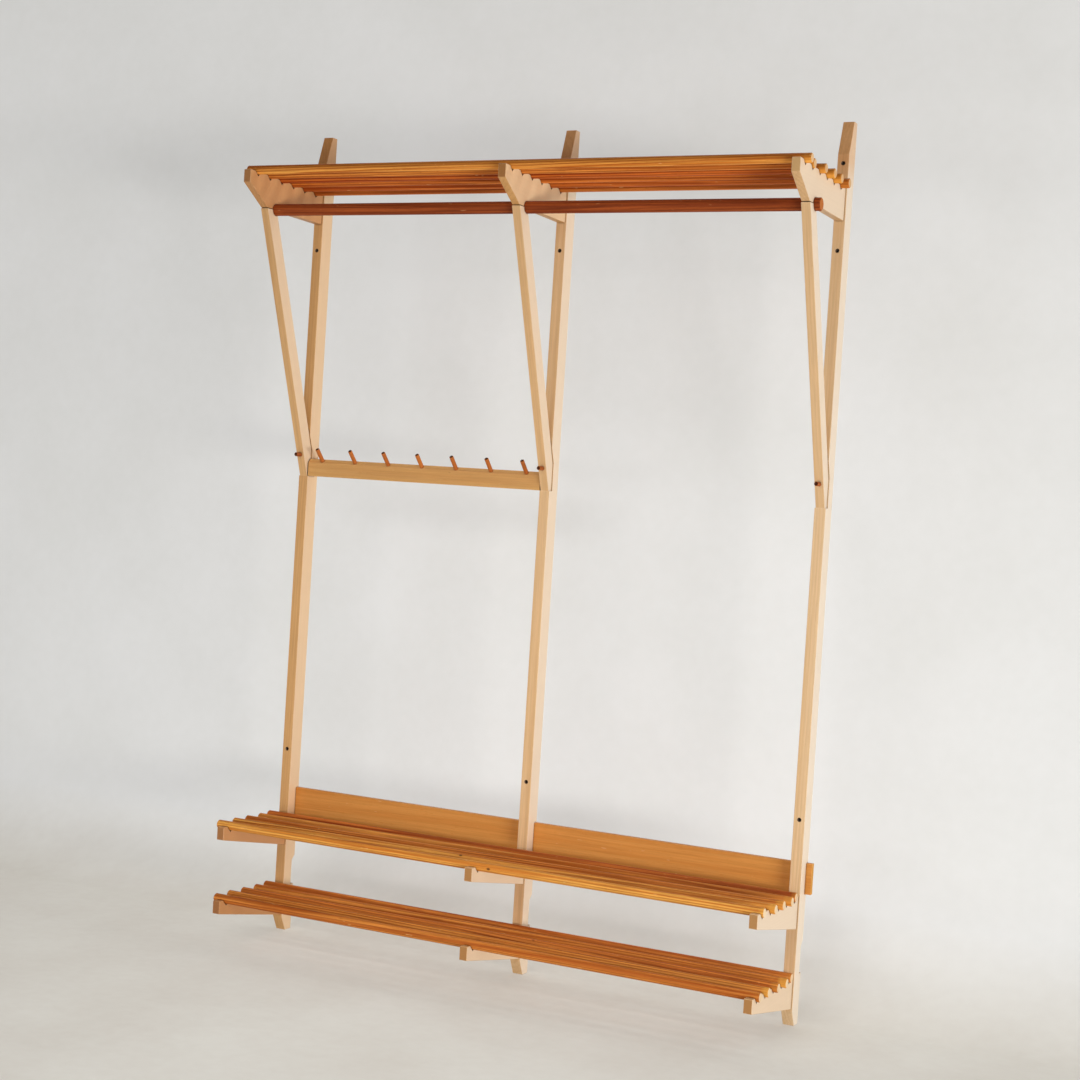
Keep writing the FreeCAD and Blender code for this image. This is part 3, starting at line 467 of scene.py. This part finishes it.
# the wall's foot is a quarter circle: y = gap - radius + radius * sin(turn), z = radius - radius * cos(turn) + lift
wide, tall = studio["wallSpan"]
turns = np.linspace(0, math.pi / 2, studio["coveSteps"] + 1)
radius = studio["coveRadius"]
coveY = studio["wallGap"] - radius + radius * np.sin(turns)
coveZ = radius - radius * np.cos(turns) + studio["coveLift"]
wall = sweptSheet("studioWall", np.vstack([np.stack([coveY, coveZ], 1), [(studio["wallGap"], tall)]]), wide)
wall.data.materials.append(paintedMaterial(
    "plasterPaintedMatt", studio["floorTone"], studio["wallTone"], studio["wallGlow"]))
floor.visible_shadow = floor.visible_diffuse = False  # the sky's lower half lights the rack instead
wall.visible_shadow = False  # light from behind still reaches the rack in the back views
print("studio built")


lamps = {  # the key stands low, so that the hat shelf is lit from below as in the photograph
    "key": {"place": (5.9, -4.0, 0.45), "aim": (0.0, -0.1, 0.95), "size": (3.2, 0.9),
            "watts": 296.0, "tone": "FFFDF8", "spread": 180},
    "fill": {"place": (-3.0, -6.0, 0.65), "aim": (0.0, -0.1, 1.0), "size": (2.6, 0.8),
             "watts": 40.0, "tone": "FAFBFF", "spread": 180},
    "shelf": {"place": (0.2, -2.8, 1.75), "aim": (0.0, -0.15, 0.05), "size": (1.8, 0.8),
              "watts": 9.0, "tone": "FFFFFF", "spread": 80},
    "top": {"place": (0.0, 0.40, 3.0), "aim": (0.0, -0.2, 1.86), "size": (1.9, 0.25),
            "watts": 4.5, "tone": "FFFFFF", "spread": 120},
}
# the sky also stands in for the light that a wide pale floor sends up, strongest straight from below
skyLight = {
    "tone": "FFFBF4", "seen": studio["farTone"],
    "stops": ((0.0, 0.50), (0.44, 0.50), (0.53, 0.16), (0.9, 0.03)),  # from straight below to overhead
}


def addLamp(name, lamp):
    data = bpy.data.lights.new(name, "AREA")
    data.shape = "RECTANGLE"
    data.size, data.size_y = lamp["size"]
    data.energy = lamp["watts"]
    data.spread = math.radians(lamp["spread"])
    data.color = linear(lamp["tone"])[:3]
    piece = bpy.data.objects.new(name, data)
    piece.location = lamp["place"]
    aim = Vector(lamp["aim"]) - Vector(lamp["place"])
    piece.rotation_euler = aim.to_track_quat("-Z", "Y").to_euler()
    piece.visible_camera = False
    scene.collection.objects.link(piece)


for name, lamp in lamps.items():
    addLamp(name + "Lamp", lamp)

world = bpy.data.worlds.new("studioSky")
world.use_nodes = True
scene.world = world
sky = world.node_tree
sky.nodes.clear()
upward = addNode(sky, "SeparateXYZ", None, {0: addNode(sky, "TexCoord", out="Generated")}, "Z")
share = addNode(sky, "MapRange", {(1, 2): (-1.0, 1.0)}, {0: upward})
glow = addNode(sky, "ValToRGB", {"stops": skyLight["stops"]}, {0: share})
lit = addNode(sky, "Background", {"Color": linear(skyLight["tone"])}, {"Strength": glow})
seen = addNode(sky, "Background", {"Color": linear(skyLight["seen"]), "Strength": 1.0})
mixed = addNode(sky, "MixShader", None, {0: seenDirectly(sky), 1: lit, 2: seen})
addNode(sky, "OutputWorld", None, {"Surface": mixed}, None)
print("lights set")


camera = {  # fitted to the rack's corners in the photograph, for a square frame
    "place": (1.9262, -4.012325, 1.148207), "yaw": 25.933, "pitch": -1.488, "roll": 3.603,
    "lens": 62.470, "sensor": 36.0, "clipEnd": 100.0,
}


def addCamera():
    yaw, pitch, roll = (math.radians(camera[k]) for k in ("yaw", "pitch", "roll"))
    ahead = Vector((-math.sin(yaw) * math.cos(pitch), math.cos(yaw) * math.cos(pitch), math.sin(pitch)))
    right = Vector((math.cos(yaw), math.sin(yaw), 0))
    up = right.cross(ahead)
    camX = right * math.cos(roll) + up * math.sin(roll)
    camY = up * math.cos(roll) - right * math.sin(roll)
    data = bpy.data.cameras.new("photoCamera")
    data.sensor_width = camera["sensor"]
    data.lens = camera["lens"]
    data.clip_end = camera["clipEnd"]
    piece = bpy.data.objects.new("photoCamera", data)
    turned = Matrix((camX, camY, -ahead)).transposed().to_4x4()
    turned.translation = Vector(camera["place"])
    piece.matrix_world = turned
    scene.collection.objects.link(piece)
    scene.camera = piece


addCamera()
print("camera set")
